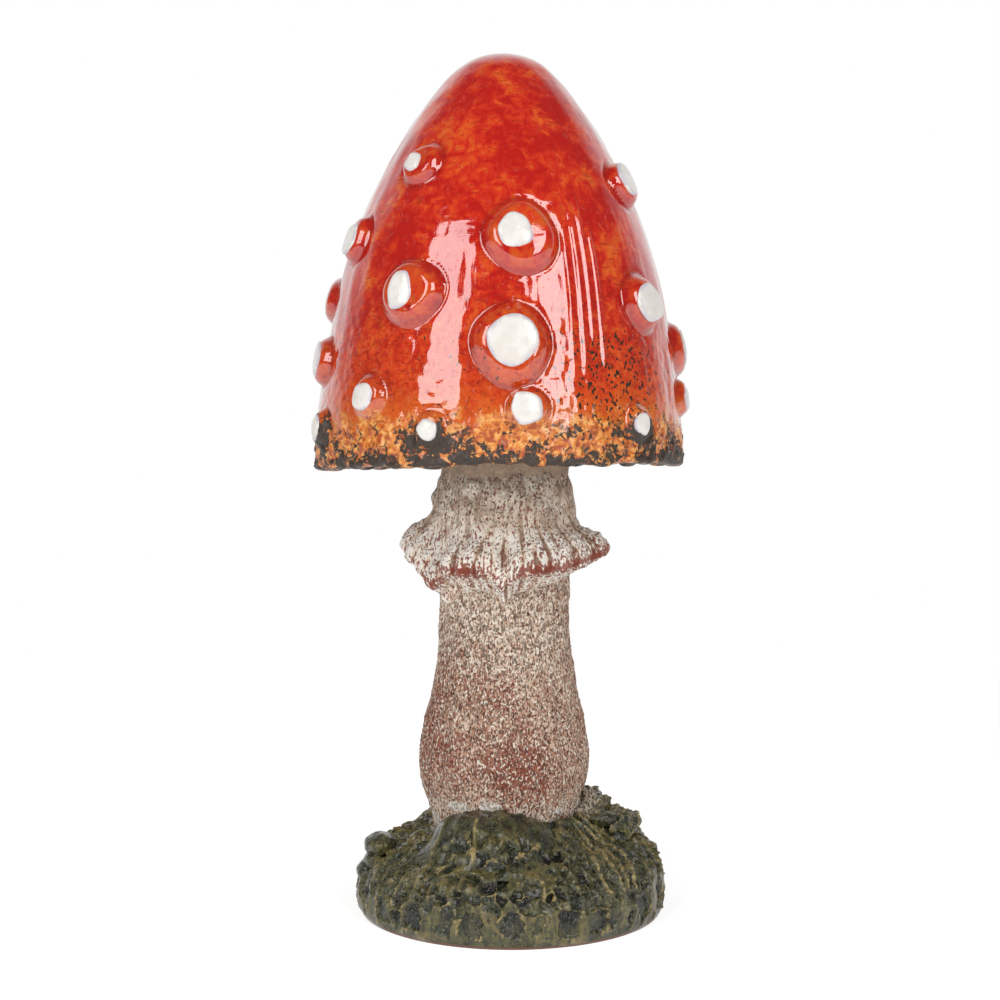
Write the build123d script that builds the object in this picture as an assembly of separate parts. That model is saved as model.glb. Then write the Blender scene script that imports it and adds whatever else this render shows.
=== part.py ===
"""Ceramic mushroom ornament: a glazed bell cap with white spots, a stem with a skirt, and a mossy mound.

Millimetres and degrees. The origin is on the table, under the middle of the cap. +Z is up, -Y is the front.
An azimuth is measured from the front, and is positive towards +X.
"""

import math
import os

from build123d import *

TOTAL_HEIGHT = 210.0
FIT = 0.1  # gap between a piece and the curved face that it is set against

# Cap: a hollow bell. Its outline runs through CAP_BELL, as shares of the radius and the height
CAP_RADIUS = 45.0
CAP_HEIGHT = 99.5
CAP_WALL = 4.5
CROWN_WALL = 6.0
CAP_LEAN = 0.6  # the crown leans towards +X
RIM_SLANT = 1.5  # the rim is cut higher on the +X side
RIM_TIP = 3.0  # and higher at the front
RIM_TRIM = 3.0  # clay below the nominal rim, for the slanted cut to take away
CAP_BELL = [(0.947, 0.251), (0.832, 0.495), (0.608, 0.736), (0.338, 0.918), (0.2, 0.976)]

# Warts: round bosses on the cap, each with a flat top for its spot
WART_RISE = 3.4  # height of the largest warts
WART_STEEPNESS = 0.45  # a small wart rises by this share of its radius
WART_SINK = 2.0  # depth of the boss in the wall of the cap
WART_LIP = 0.6  # bare ring between a spot and the edge of the flat top
WART_SWELL = 0.9  # how far the flank bulges from a straight cone

# Spots: azimuth, distance up the cap from its rim, radius of the spot, radius of its wart
SPOTS = [
    (-40, 72.5, 2.8, 5.6),
    (6, 54.4, 4.5, 8.8),
    (67, 69.5, 4.5, 6.4),
    (-30, 41.0, 5.0, 8.0),
    (4, 29.5, 6.4, 9.4),
    (55, 39.0, 5.0, 7.0),
    (-43, 16.5, 3.6, 5.2),
    (8, 14.5, 3.8, 4.9),
    (-20, 9.4, 2.7, 4.4),
    (46, 11.0, 2.8, 4.4),
    (-70, 9.0, 3.0, 4.8),
    (-69, 54.0, 4.2, 6.0),
    (-96, 40.0, 4.6, 6.6),
    (-78, 25.0, 4.4, 6.4),
    (92, 28.5, 5.0, 7.2),
    (82, 16.5, 3.2, 4.8),
    (118, 62.0, 4.6, 7.6),
    (128, 40.0, 4.2, 6.6),
    (117, 14.0, 3.4, 5.0),
    (150, 24.0, 5.8, 9.0),
    (162, 50.0, 4.4, 7.0),
    (158, 76.0, 3.0, 5.4),
    (186, 33.0, 4.8, 7.6),
    (178, 11.0, 2.9, 4.6),
    (204, 60.0, 5.0, 8.2),
    (214, 20.0, 5.2, 8.2),
    (236, 44.0, 4.6, 7.2),
    (244, 12.0, 3.0, 4.6),
    (232, 74.0, 2.8, 5.2),
]
SPOT_EDGE = 0.35  # height of a spot's upright edge
SPOT_CROWN = 0.6  # rise of its rounded top above that edge

# Stem: a hollow column, from its foot in the mound to a tenon in the crown of the cap
STEM_X = 1.3
SEAT_HEIGHT = 12.0  # level of the stem's foot
FOOT_RADIUS = 17.2
BULB_RADIUS = 21.1
BULB_HEIGHT = 38.0
WAIST_RADIUS = 15.7
WAIST_HEIGHT = 78.0
FLANK_RADIUS = 18.2  # on the way from the bulb to the waist
FLANK_HEIGHT = 54.5
FLANK_SLOPE = -0.22
NECK_RADIUS = 15.4  # at the level of the cap's rim
TENON_RADIUS = 11.5
TENON_LENGTH = 14.0
BORE_RADIUS = 8.5

# Beds of cement that hold the stem in the cap and in the mound
CROWN_GAP = 11.0  # from the end of the tenon to the inside of the crown
CROWN_BED_DEPTH = 24.0  # from the inside of the crown to the underside of the bed
FOOT_BED = 0.8  # thickness round the foot
FOOT_BED_SINK = 4.0  # how far the bed stops below the lip of the mound

# Skirt: a lobed collar of level rings, from the lowest up. Each has a reach out from the stem and a wave
SKIRT_DROP = 30.0  # from the rim of the cap to the lowest ring
SKIRT_PITCH = 3.0  # from one ring to the next
SKIRT_RINGS = [
    (0.7, 0.0),
    (3.9, 0.6),
    (7.4, 1.4),
    (8.8, 1.7),
    (7.6, 1.4),
    (4.6, 0.8),
    (2.5, 0.4),
    (1.8, 0.2),
    (1.2, 0.1),
    (0.7, 0.0),
]
SKIRT_POINTS = 36  # points on each ring
SKIRT_LOBES = [(2, 0.5, 180), (7, 0.5, 30)]  # lobes in a turn, share of the wave, phase

# Mound: an upright wall, a round shoulder, and a slope up to a lip round the stem
BASE_X = 2.9
BASE_RADIUS = 38.2
BASE_HEIGHT = 25.0
WALL_HEIGHT = 9.0
SHOULDER_IN = 4.0  # how far the shoulder lies inside the wall
SHOULDER_UP = 6.3  # and above the top of the wall
SHOULDER_SLOPE = 0.8
LIP = 2.0  # how far the lip stands out from the stem's foot
LIP_SLOPE = 0.45
MOUND_SAG = 2.0  # the mound slumps towards -X
SAG_TRIM = 5.0  # clay to trim level at the foot of the slumped mound
FOOT_RING = 9.0  # width of the ring that the mound stands on
FOOT_RECESS = 3.0

# Tool marks, in rows round the mound: distance up its side, marks in the row, width, length, depth
MARK_ROWS = [
    (5.6, 20, 5.2, 6.2, 1.2),
    (14.2, 16, 4.8, 4.4, 1.3),
    (20.6, 13, 4.6, 4.2, 1.4),
    (26.6, 10, 4.2, 3.8, 1.2),
]
MARK_SWAY = 3.5  # how far a mark strays to either side of its even place
MARK_LEAN = 14.0  # how far it leans

# Lumps of each sprig: azimuth, share of the mound's radius from its axis, height, half sizes along XYZ
SPRIGS = {
    "moss_clump_right": [
        (86, 0.515, 20.0, (6.8, 10.0, 10.0)),
        (80, 0.70, 21.2, (4.2, 7.2, 4.6)),
        (91, 0.77, 19.4, (3.3, 6.0, 4.2)),
    ],
    "moss_clump_left": [(-81, 0.866, 13.9, (4.4, 5.2, 4.6)), (-84, 0.935, 9.9, (2.8, 4.2, 3.0))],
    "moss_flap_front": [(-13, 0.56, 22.2, (12.0, 6.6, 6.6))],
}

RIM_HEIGHT = TOTAL_HEIGHT - CAP_HEIGHT
CROWN_INSIDE = TOTAL_HEIGHT - CROWN_WALL
TENON_TOP = CROWN_INSIDE - CROWN_GAP
TENON_FOOT = TENON_TOP - TENON_LENGTH
CAP_PLACE = Location((0, 0, RIM_HEIGHT), (0, CAP_LEAN, 0))
STEM_PLACE = Location((STEM_X, 0, 0))
BASE_PLACE = Location((BASE_X, 0, 0))
SLUMP = Rot(0, -MOUND_SAG, 0)
UPWARD = (Align.CENTER, Align.CENTER, Align.MIN)


def chain(*points):
    """Straight edges through (radius, height) points."""
    corners = [(r, 0, z) for r, z in points]
    return [Line(a, b) for a, b in zip(corners, corners[1:])]


def spun(*edges):
    """The solid that a closed loop of edges in the XZ plane sweeps round the Z axis."""
    return revolve(make_face(Wire(list(edges))), Axis.Z).solid()


def bell(radius, height):
    """The cap's outline, from its rim up to its top on the axis."""
    middle = [(radius * across, 0, height * up) for across, up in CAP_BELL]
    return Spline((radius, 0, 0), *middle, (0, 0, height), tangents=[(0, 0, 1), (-1, 0, 0)])


def bell_solid(inset=0.0, crown_inset=0.0):
    """A full bell, inside the cap's outline by the insets, with clay to trim below its rim."""
    radius, height = CAP_RADIUS - inset, CAP_HEIGHT - crown_inset
    return spun(bell(radius, height), *chain((0, height), (0, -RIM_TRIM), (radius, -RIM_TRIM), (radius, 0)))


def outside(outline, azimuth, up):
    """A place at a distance up an outline and at an azimuth, with its Z axis pointing out of the clay."""
    point = outline.position_at(up, position_mode=PositionMode.LENGTH)
    along = outline.tangent_at(up, position_mode=PositionMode.LENGTH)
    outward = Plane(point, x_dir=along, z_dir=(along.Z, 0, -along.X))
    return Rot(0, 0, azimuth - 90) * outward.location


def spot_place(azimuth, up):
    """A place on the glaze of the cap."""
    return outside(bell(CAP_RADIUS, CAP_HEIGHT), azimuth, up)


def wart_rise(wart_radius):
    """Height of a wart's flat top above the cap."""
    return min(WART_RISE, WART_STEEPNESS * wart_radius)


def wart(spot_radius, wart_radius):
    """A boss with a bulging flank and a flat top, on the XY plane."""
    rise, top = wart_rise(wart_radius), spot_radius + WART_LIP
    foot, edge = Vector(wart_radius, 0, -WART_SINK), Vector(top, 0, rise)
    slope = (edge - foot).normalized()
    bulge = (foot + edge) / 2 + Vector(slope.Z, 0, -slope.X) * WART_SWELL
    rest = chain((top, rise), (0, rise), (0, -WART_SINK), (wart_radius, -WART_SINK))
    return spun(ThreePointArc(foot, bulge, edge), *rest)


def spot(spot_radius, wart_radius):
    """A dab of enamel on a wart's flat top: an upright edge and a low crown."""
    low = wart_rise(wart_radius)
    edge = low + SPOT_EDGE
    crown = edge + SPOT_CROWN
    dome = Spline((spot_radius, 0, edge), (0, 0, crown), tangents=[(-1, 0, 1), (-1, 0, 0)])
    return spun(dome, *chain((0, crown), (0, low), (spot_radius, low), (spot_radius, edge)))


def cap_shell():
    """The hollow bell with its warts, cut along the slanted rim."""
    bosses = [spot_place(azimuth, up) * wart(radius, wide) for azimuth, up, radius, wide in SPOTS]
    shell = bell_solid().fuse(*bosses) - bell_solid(CAP_WALL, CROWN_WALL)
    rim = Plane.XY.rotated((-RIM_TIP, -RIM_SLANT, 0))
    return CAP_PLACE * split(shell, bisect_by=rim, keep=Keep.TOP)


def cap_spots():
    """Every spot, as a node name and its solid."""
    for number, (azimuth, up, radius, wide) in enumerate(SPOTS, 1):
        yield f"cap_spot_{number:02d}", CAP_PLACE * spot_place(azimuth, up) * spot(radius, wide)


def stem_solid(grow=0.0):
    """The stem with no bore, grown on every side."""
    foot, top = SEAT_HEIGHT - grow, TENON_TOP + grow
    foot_radius, neck_radius, tenon_radius = (r + grow for r in (FOOT_RADIUS, NECK_RADIUS, TENON_RADIUS))
    side = Spline(
        (foot_radius, 0, foot),
        (BULB_RADIUS + grow, 0, BULB_HEIGHT),
        (FLANK_RADIUS + grow, 0, FLANK_HEIGHT),
        (WAIST_RADIUS + grow, 0, WAIST_HEIGHT),
        (neck_radius, 0, RIM_HEIGHT),
        tangents=[(0, 0, 1), (0, 0, 1), (FLANK_SLOPE, 0, 1), (0, 0, 1), (0, 0, 1)],
    )
    tenon = chain((neck_radius, RIM_HEIGHT), (tenon_radius, TENON_FOOT), (tenon_radius, top), (0, top))
    return spun(side, *tenon, *chain((0, top), (0, foot), (foot_radius, foot)))


def stem():
    """The column, open at both ends."""
    bore = Pos(0, 0, SEAT_HEIGHT) * Cylinder(BORE_RADIUS, TENON_TOP - SEAT_HEIGHT, align=UPWARD)
    return STEM_PLACE * (stem_solid() - bore)


def crown_bed():
    """Cement in the crown of the cap, with a socket for the tenon."""
    inside = CAP_PLACE * bell_solid(CAP_WALL + FIT, CROWN_WALL + FIT)
    underside = Plane((0, 0, CROWN_INSIDE - CROWN_BED_DEPTH))
    return split(inside, bisect_by=underside, keep=Keep.TOP) - STEM_PLACE * stem_solid(FIT)


def skirt_ring(height, reach, wave):
    """A closed ring round the stem, whose radius swings by the wave as SKIRT_LOBES says."""

    def point(turn):
        swings = [share * math.cos(math.radians(count * turn + phase)) for count, share, phase in SKIRT_LOBES]
        radius = max(WAIST_RADIUS, NECK_RADIUS) + reach + wave * sum(swings)
        return Vector(0, -radius, height).rotate(Axis.Z, turn)

    points = [point(360 * step / SKIRT_POINTS) for step in range(SKIRT_POINTS)]
    return Face(Wire(Spline(*points, periodic=True)))


def skirt():
    """The collar, lofted through its rings and bored to fit the stem."""
    lowest = RIM_HEIGHT - SKIRT_DROP
    collar = loft([skirt_ring(lowest + level * SKIRT_PITCH, *ring) for level, ring in enumerate(SKIRT_RINGS)])
    return STEM_PLACE * (collar - stem_solid(FIT))


def mound_side(grow=0.0):
    """The mound's outline, from its foot up the wall and the slope to the lip."""
    radius, wall, top = BASE_RADIUS + grow, WALL_HEIGHT + grow, BASE_HEIGHT + grow
    slope = Spline(
        (radius, 0, wall),
        (radius - SHOULDER_IN, 0, wall + SHOULDER_UP),
        (FOOT_RADIUS + LIP, 0, top),
        tangents=[(0, 0, 1), (-1, 0, SHOULDER_SLOPE), (-1, 0, LIP_SLOPE)],
    )
    return Wire([Line((radius, 0, 0), (radius, 0, wall)), slope])


def mound(grow=0.0):
    """The slumped mound with no pocket and no tool marks, grown on every side but its foot."""
    side = mound_side(grow)
    foot, lip = side.position_at(0), side.position_at(1)
    rest = chain((lip.X, lip.Z), (0, lip.Z), (0, -SAG_TRIM), (foot.X, -SAG_TRIM), (foot.X, 0))
    clay = SLUMP * spun(*side.edges(), *rest)
    return BASE_PLACE * split(clay, bisect_by=Plane.XY, keep=Keep.TOP)


def tool_marks():
    """Every mark as the block of clay that the tool pressed away, swaying and leaning as handwork does."""
    side = mound_side()
    for row, (up, count, width, length, depth) in enumerate(MARK_ROWS):
        for step in range(count):
            stray = 2.4 * (step + 7 * row)
            azimuth = 360 * (step + row / 2) / count + MARK_SWAY * math.sin(stray)
            lean = MARK_LEAN * math.cos(1.7 * stray)
            place = BASE_PLACE * SLUMP * outside(side, azimuth, up) * Rot(0, 0, lean)
            yield place * Box(length, width, 2 * depth)


def moss_base():
    """The mound with its tool marks, the stem's pocket, and the recess that leaves a ring to stand on."""
    recess = BASE_PLACE * Cylinder(BASE_RADIUS - FOOT_RING, FOOT_RECESS, align=UPWARD)
    pressed = mound().cut(*tool_marks())
    return pressed - STEM_PLACE * stem_solid(FOOT_BED) - recess


def foot_bed():
    """Cement under and round the foot of the stem."""
    top = Plane((0, 0, BASE_HEIGHT - FOOT_BED_SINK))
    cup = stem_solid(FOOT_BED - FIT) - stem_solid(FIT)
    return STEM_PLACE * split(cup, bisect_by=top, keep=Keep.BOTTOM)


def lump(azimuth, share, height, half_sizes):
    """One round lump of clay on the mound."""
    centre = Vector(0, -share * BASE_RADIUS, height).rotate(Axis.Z, azimuth)
    return BASE_PLACE * Pos(centre) * scale(Sphere(1), by=half_sizes)


def sprig(lumps):
    """Lumps stuck together, shaped to the mound and the stem that they are pressed against."""
    clay = Part() + [lump(*sizes) for sizes in lumps]
    return clay - mound(FIT) - STEM_PLACE * stem_solid(FIT)


def pieces():
    """Every node's name and shape."""
    yield "cap_shell", cap_shell()
    yield from cap_spots()
    yield "stem", stem()
    yield "crown_bed", crown_bed()
    yield "skirt", skirt()
    yield "moss_base", moss_base()
    yield "foot_bed", foot_bed()
    for name, lumps in SPRIGS.items():
        yield name, sprig(lumps)


os.makedirs("parts", exist_ok=True)
for node, shape in pieces():
    export_step(shape, f"parts/{node}.step")
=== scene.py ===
"""Looks of the ceramic mushroom ornament.

A glazed cap with enamel spots sits on a slipped stem with a skirt, and the stem in a mossy mound.
Shapes are worked out in millimetres in the part's own frame, and go into the meshes in metres.
An azimuth is measured from the front, -Y, and is positive towards +X.
"""

import math

import bpy
import numpy as np
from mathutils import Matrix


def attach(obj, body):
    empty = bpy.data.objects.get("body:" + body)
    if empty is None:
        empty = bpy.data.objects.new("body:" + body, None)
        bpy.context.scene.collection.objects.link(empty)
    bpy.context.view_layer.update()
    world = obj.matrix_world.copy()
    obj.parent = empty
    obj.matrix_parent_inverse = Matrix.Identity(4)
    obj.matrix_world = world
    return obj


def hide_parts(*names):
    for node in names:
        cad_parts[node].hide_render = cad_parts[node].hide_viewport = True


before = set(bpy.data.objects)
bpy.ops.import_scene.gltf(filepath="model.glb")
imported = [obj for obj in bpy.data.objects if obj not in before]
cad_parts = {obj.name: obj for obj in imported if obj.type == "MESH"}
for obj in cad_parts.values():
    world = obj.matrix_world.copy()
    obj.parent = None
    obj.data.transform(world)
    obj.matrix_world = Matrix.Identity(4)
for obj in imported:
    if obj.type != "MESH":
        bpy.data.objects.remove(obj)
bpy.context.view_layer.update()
MM = 0.001

# Cap, as turned: the outline's points are shares of its radius and height
CAP_RADIUS, CAP_HEIGHT, RIM_HEIGHT = 45.0, 99.5, 110.5
CAP_WALL, CROWN_WALL = 4.5, 6.0
CAP_BELL = [(0.947, 0.251), (0.832, 0.495), (0.608, 0.736), (0.338, 0.918), (0.2, 0.976)]
CAP_LEAN, RIM_SLANT, RIM_TIP = math.radians(0.6), math.radians(1.5), math.radians(3.0)
RIM_WOBBLE = 0.35
GLAZE_RUNS = [  # azimuth, lower and upper end, height of the run
    (23, 18, 60, 0.3), (27, 20, 66, 0.4), (30.5, 26, 70, 0.35), (34, 20, 62, 0.4),
]
RUN_WIDTH, RUN_DEGREE = 0.55, 0.75  # half width of a run, and what a degree of azimuth measures there
BURNT_BELOW = 12.0  # distance up the cap below which a spot's foot is burnt

# Spots: azimuth, distance up the cap from its rim, radius of the dab, radius of its wart
SPOTS = [
    (-40, 72.5, 2.8, 5.6), (6, 54.4, 4.5, 8.8), (67, 69.5, 4.5, 6.4), (-30, 41.0, 5.0, 8.0),
    (4, 29.5, 6.4, 9.4), (55, 39.0, 5.0, 7.0), (-43, 16.5, 3.6, 5.2), (8, 14.5, 3.8, 4.9),
    (-20, 9.4, 2.7, 4.4), (46, 11.0, 2.8, 4.4), (-70, 9.0, 3.0, 4.8), (-69, 54.0, 4.2, 6.0),
    (-96, 40.0, 4.6, 6.6), (-78, 25.0, 4.4, 6.4), (92, 28.5, 5.0, 7.2), (82, 16.5, 3.2, 4.8),
    (118, 62.0, 4.6, 7.6), (128, 40.0, 4.2, 6.6), (117, 14.0, 3.4, 5.0), (150, 24.0, 5.8, 9.0),
    (162, 50.0, 4.4, 7.0), (158, 76.0, 3.0, 5.4), (186, 33.0, 4.8, 7.6), (178, 11.0, 2.9, 4.6),
    (204, 60.0, 5.0, 8.2), (214, 20.0, 5.2, 8.2), (236, 44.0, 4.6, 7.2), (244, 12.0, 3.0, 4.6),
    (232, 74.0, 2.8, 5.2),
]
WART_RISE, WART_STEEPNESS, WART_FLAT = 2.9, 0.38, 0.62
FOOT_WAVER, CREASE_WIDTH, CREASE_DEPTH = 0.07, 0.7, 0.28
DAB_SHIFT = 1.0
DAB_THICKNESS, DAB_SINK = 0.8, 0.4
NARROW_DABS = {1: 0.78, 4: 0.7}  # spots whose dab is narrower than it is tall, and by what share

# Stem and skirt. A patch is its azimuth and height, half sizes in degrees and millimetres, and strength
STEM_X = 1.3
STEM_SIDE = [(16.8, 12.0), (18.4, 25.0), (20.6, 38.0), (18.0, 54.5), (15.6, 78.0), (15.4, 110.5)]
STEM_TENON = [(11.5, 179.0), (11.5, 193.0)]
BORE_RADIUS = 8.5
STEM_RUST = [
    (10, 37, 26, 9, 1.0), (-40, 40, 20, 6, 0.55), (2, 54, 22, 8, 0.45), (58, 42, 20, 12, 0.2),
    (-66, 50, 26, 20, 0.6), (-30, 62, 30, 6, 0.3), (78, 60, 14, 20, 0.4),
    (140, 38, 34, 10, 0.8), (-120, 44, 36, 12, 0.6), (-170, 56, 30, 10, 0.35),
]
STEM_CHALK = [
    (-12, 76, 44, 16, 0.8), (40, 70, 40, 18, 0.5), (-50, 78, 36, 14, 0.5), (160, 74, 70, 18, 0.7),
    (-110, 68, 50, 16, 0.5), (0, 100, 200, 12, 0.5), (-60, 27, 40, 5, 0.6), (20, 26, 50, 5, 0.6),
    (150, 26, 90, 5, 0.6),
]
STEM_CRUST = [
    (-10, 29.0, 10, 1.8, 1.2), (-37, 28.4, 11, 1.6, 1.1), (-66, 24.0, 9, 2.2, 1.1), (44, 27, 8, 1.6, 0.9),
    (70, 26, 9, 2.8, 1.1), (110, 26, 14, 1.6, 0.8), (190, 26, 16, 1.6, 0.9),
]
SKIRT_HEM = [  # azimuth, radius and height of the hem
    (-125, 23.0, 87.0), (-105, 24.2, 89.5), (-88, 24.4, 90.0), (-74, 23.0, 87.0), (-60, 20.6, 82.0),
    (-50, 20.2, 83.6), (-42, 21.2, 86.0), (-22, 22.4, 86.4), (-7, 22.6, 85.8), (-1, 21.6, 82.0),
    (7, 22.6, 86.0), (28, 23.4, 87.0), (52, 24.2, 88.2), (76, 24.8, 89.6), (93, 24.8, 90.0),
    (110, 23.4, 88.0), (135, 22.4, 85.6), (158, 24.2, 87.6), (182, 22.8, 84.6), (205, 24.2, 88.0),
    (222, 22.6, 85.4),
]
DROOP, DROOP_AT, DROOP_WIDE = 2.2, 88, 36  # how far the skirt's right end sinks, and where in degrees
SKIRT_RUST = [
    (-58, 82, 8, 9, 1.0), (-26, 86, 16, 9, 1.0), (22, 87, 16, 9, 0.9), (62, 89, 28, 9, 1.0),
    (170, 86, 50, 9, 0.8),
]

# Mound
BASE_X = 2.9
BASE_SIDE = [(37.2, 0.0), (38.0, 3.0), (38.1, 8.5), (37.0, 12.2), (34.2, 15.8), (28.0, 19.8), (18.6, 25.2)]
POCKET_FLOOR = (18.2, 11.2)
BASE_UNDER = [(6.0, 11.2), (6.0, 3.0), (20.0, 3.0), (29.2, 3.0), (29.2, 0.0), (33.0, 0.0)]
MARK_ROWS = [  # distance up the side, marks in the row, width, length and depth of each
    (5.6, 20, 5.2, 6.2, 1.2), (14.2, 16, 4.8, 4.4, 1.3), (20.6, 13, 4.6, 4.2, 1.4), (26.6, 10, 4.2, 3.8, 1.2),
]
MARK_SWAY, MARK_LEAN = 3.5, math.radians(14)
MARK_TRIES = 9000  # points tried at most for the free tool marks of a piece
DRAPE_LINES, DRAPE_RADIUS = 72, 26.0  # how many would go all round, and the radius halfway down them
# Lumps of each clump: centre, half sizes, half size of its tool marks or 0 if smooth, slip on its top
CLUMPS = {
    "moss_clump_right": [
        ((22.4, -1.4, 20.0), (6.7, 9.6, 10.0), 1.3, 0.8),
        ((29.0, -4.4, 21.0), (4.0, 6.4, 4.7), 1.1, 0.35),
        ((32.3, 0.5, 21.2), (2.9, 5.0, 2.8), 1.0, 0.15),
        ((25.4, -8.4, 24.0), (3.8, 2.8, 2.0), 0.0, 0.0),
    ],
    "moss_clump_left": [
        ((-29.5, -5.0, 16.8), (3.8, 5.0, 3.0), 0.0, 0.0),
        ((-32.6, -4.0, 9.9), (2.7, 4.0, 2.9), 0.0, 0.0),
        ((-30.4, -5.2, 13.2), (2.9, 4.6, 3.2), 0.0, 0.0),
    ],
}
FLAP_AZIMUTH, FLAP_UP, FLAP_HALF, FLAP_THICK = math.radians(-17), 31.0, (15.0, 9.5), 4.2
FLAP_RADIUS = 21.5  # of the slope, where the flap lies on it
FLAP_LEAN = 14.0  # how far the flap may go on up the stem from the top of the slope
FLAP_EDGE_SINK, FLAP_UNDER_SINK = 0.4, 1.6  # how deep its edge and its underside lie in the slope
FLAP_CLEAR = (14.0, 11.0)  # half sizes, across and up, of the ground round it without tool marks
FLAP_RIDGES = [(-9.4, 0.7), (-5.5, 0.3), (-1.1, 1.0), (4.3, 0.3), (6.9, 0.4), (9.4, 0.5)]  # place, height

# Columns and rows of the pieces' grids
CAP_COLUMNS, CAP_ROWS, RIM_ROWS, LINING_ROWS = 540, 150, 6, 20
DAB_COLUMNS, DAB_ROWS = 72, 14
STEM_COLUMNS, STEM_ROWS, BORE_ROWS = 400, 205, 24
SKIRT_COLUMNS, SKIRT_ROWS = 420, 120
MOUND_COLUMNS, MOUND_ROWS, POCKET_ROWS = 720, 112, 5
FLAP_COLUMNS, FLAP_ROWS, FLAP_UNDER_ROWS = 260, 70, 8
CLUMP_COLUMNS, CLUMP_ROWS = 150, 80

# Camera: an ordinary lens a little above the skirt, looking slightly down
CAMERA_DISTANCE, CAMERA_HEIGHT, CAMERA_PITCH = 471.0, 134.5, math.radians(4.0)
CAMERA_LENS, SENSOR = 68.94, 36.0
CAMERA_X = 0.2

# Studio, in metres: where the lamps aim, their distance and height, the room's light on matt surfaces
LAMP_AIM, LAMP_DISTANCE, LAMP_HEIGHT = 0.12, 1.3, 0.78
ROOM_LIGHT = 0.3
MIRRORED_FRONT, MIRRORED_BACK = 0.08, 0.85  # the room's light in the glaze's reflections
FLOOR_REACH = 6.0
FLOOR_SEEN, FLOOR_FELT = (0.62, 0.74), (0.75, 0.4)  # shade and glow, to the camera and to the ornament
FADE_START, FADE_END = 120.0, 420.0  # millimetres from the ornament over which the floor turns white


def paint(red, green, blue):
    """A colour given as it looks on a screen, 0 to 255, as the linear values that the shaders take."""
    share = np.array([red, green, blue]) / 255
    linear = np.where(share <= 0.04045, share / 12.92, ((share + 0.055) / 1.055) ** 2.4)
    return (*linear.tolist(), 1.0)


def ease(value, low, high):
    """A smooth step: 0 up to low, 1 from high on, and the cubic 3t^2 - 2t^3 between them."""
    t = np.clip((value - low) / (high - low), 0, 1)
    return t * t * (3 - 2 * t)


def bell(offset, width):
    """1 where the offset is 0, falling off to both sides as exp(-t^2), with t the offset over the width."""
    return np.exp(-((offset / width) ** 2))


def waves(points, size, seed, stretch=(1, 1, 1), count=32):
    """Smooth random relief of unit spread: a sum of cosines whose wavelengths are near the size.

    Their directions are random, and each wavelength is longer along an axis by that axis's stretch.
    """
    rng = np.random.default_rng(seed)
    direction = rng.normal(size=(count, 3))
    direction /= np.linalg.norm(direction, axis=1, keepdims=True)
    vectors = direction * (2 * math.pi / size) * rng.uniform(0.6, 1.6, (count, 1)) / np.array(stretch)
    return np.cos(points @ vectors.T + rng.uniform(0, 2 * math.pi, count)).sum(-1) * math.sqrt(2 / count)


def curve(points, count, start=None, end=None):
    """Evenly spaced points on the cubic spline through the given points.

    The slope at each point makes the bend continuous. An end takes the direction given, or runs straight.
    """
    knots = np.array(points, float)
    span = np.linalg.norm(np.diff(knots, axis=0), axis=1)
    step = np.diff(knots, axis=0) / span[:, None]
    last = len(knots) - 1
    matrix, right = np.zeros((last + 1, last + 1)), np.zeros_like(knots)
    for i in range(1, last):
        matrix[i, i - 1 : i + 2] = span[i], 2 * (span[i - 1] + span[i]), span[i - 1]
        right[i] = 3 * (span[i] * step[i - 1] + span[i - 1] * step[i])
    for row, near, direction, chord in ((0, 1, start, step[0]), (last, last - 1, end, step[-1])):
        matrix[row, row] = 2 if direction is None else 1
        matrix[row, near] = 1 if direction is None else 0
        right[row] = 3 * chord if direction is None else direction
    slope = np.linalg.solve(matrix, right)
    t = np.linspace(0, 1, 200)[:, None]
    pieces = []
    for i in range(last):
        chord = knots[i + 1] - knots[i]
        bend = t * (1 - t) * ((1 - t) * (slope[i] * span[i] - chord) - t * (slope[i + 1] * span[i] - chord))
        pieces.append(knots[i] + t * chord + bend)
    return evenly(np.vstack(pieces), count)


def travelled(line):
    """Distance along a line of points, at each of them."""
    return np.concatenate([[0], np.cumsum(np.linalg.norm(np.diff(line, axis=0), axis=1))])


def evenly(line, count):
    """Points spaced evenly along a line of points."""
    travel = travelled(line)
    where = np.linspace(0, travel[-1], count)
    return np.stack([np.interp(where, travel, line[:, axis]) for axis in range(line.shape[1])], -1)


def full_turn(columns):
    """Azimuths all round, one for each column, from the back round by the left."""
    return np.linspace(-math.pi, math.pi, columns, endpoint=False)


def turned(radius, height, azimuth):
    """Points at a radius and height from the Z axis, at an azimuth."""
    radius, height, azimuth = np.broadcast_arrays(radius, height, azimuth)
    return np.stack([radius * np.sin(azimuth), -radius * np.cos(azimuth), height], -1)


def normals_of(points):
    """Unit normals of a grid that closes on itself along its columns: the cross product of its two slopes."""
    along = np.roll(points, -1, axis=1) - np.roll(points, 1, axis=1)
    up = np.gradient(points, axis=0)
    cross = np.cross(along, up)
    return cross / np.maximum(np.linalg.norm(cross, axis=-1, keepdims=True), 1e-9)


def put_in_scene(name, data):
    """A new object at the origin."""
    made = bpy.data.objects.new(name, data)
    bpy.context.scene.collection.objects.link(made)
    return made


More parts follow.
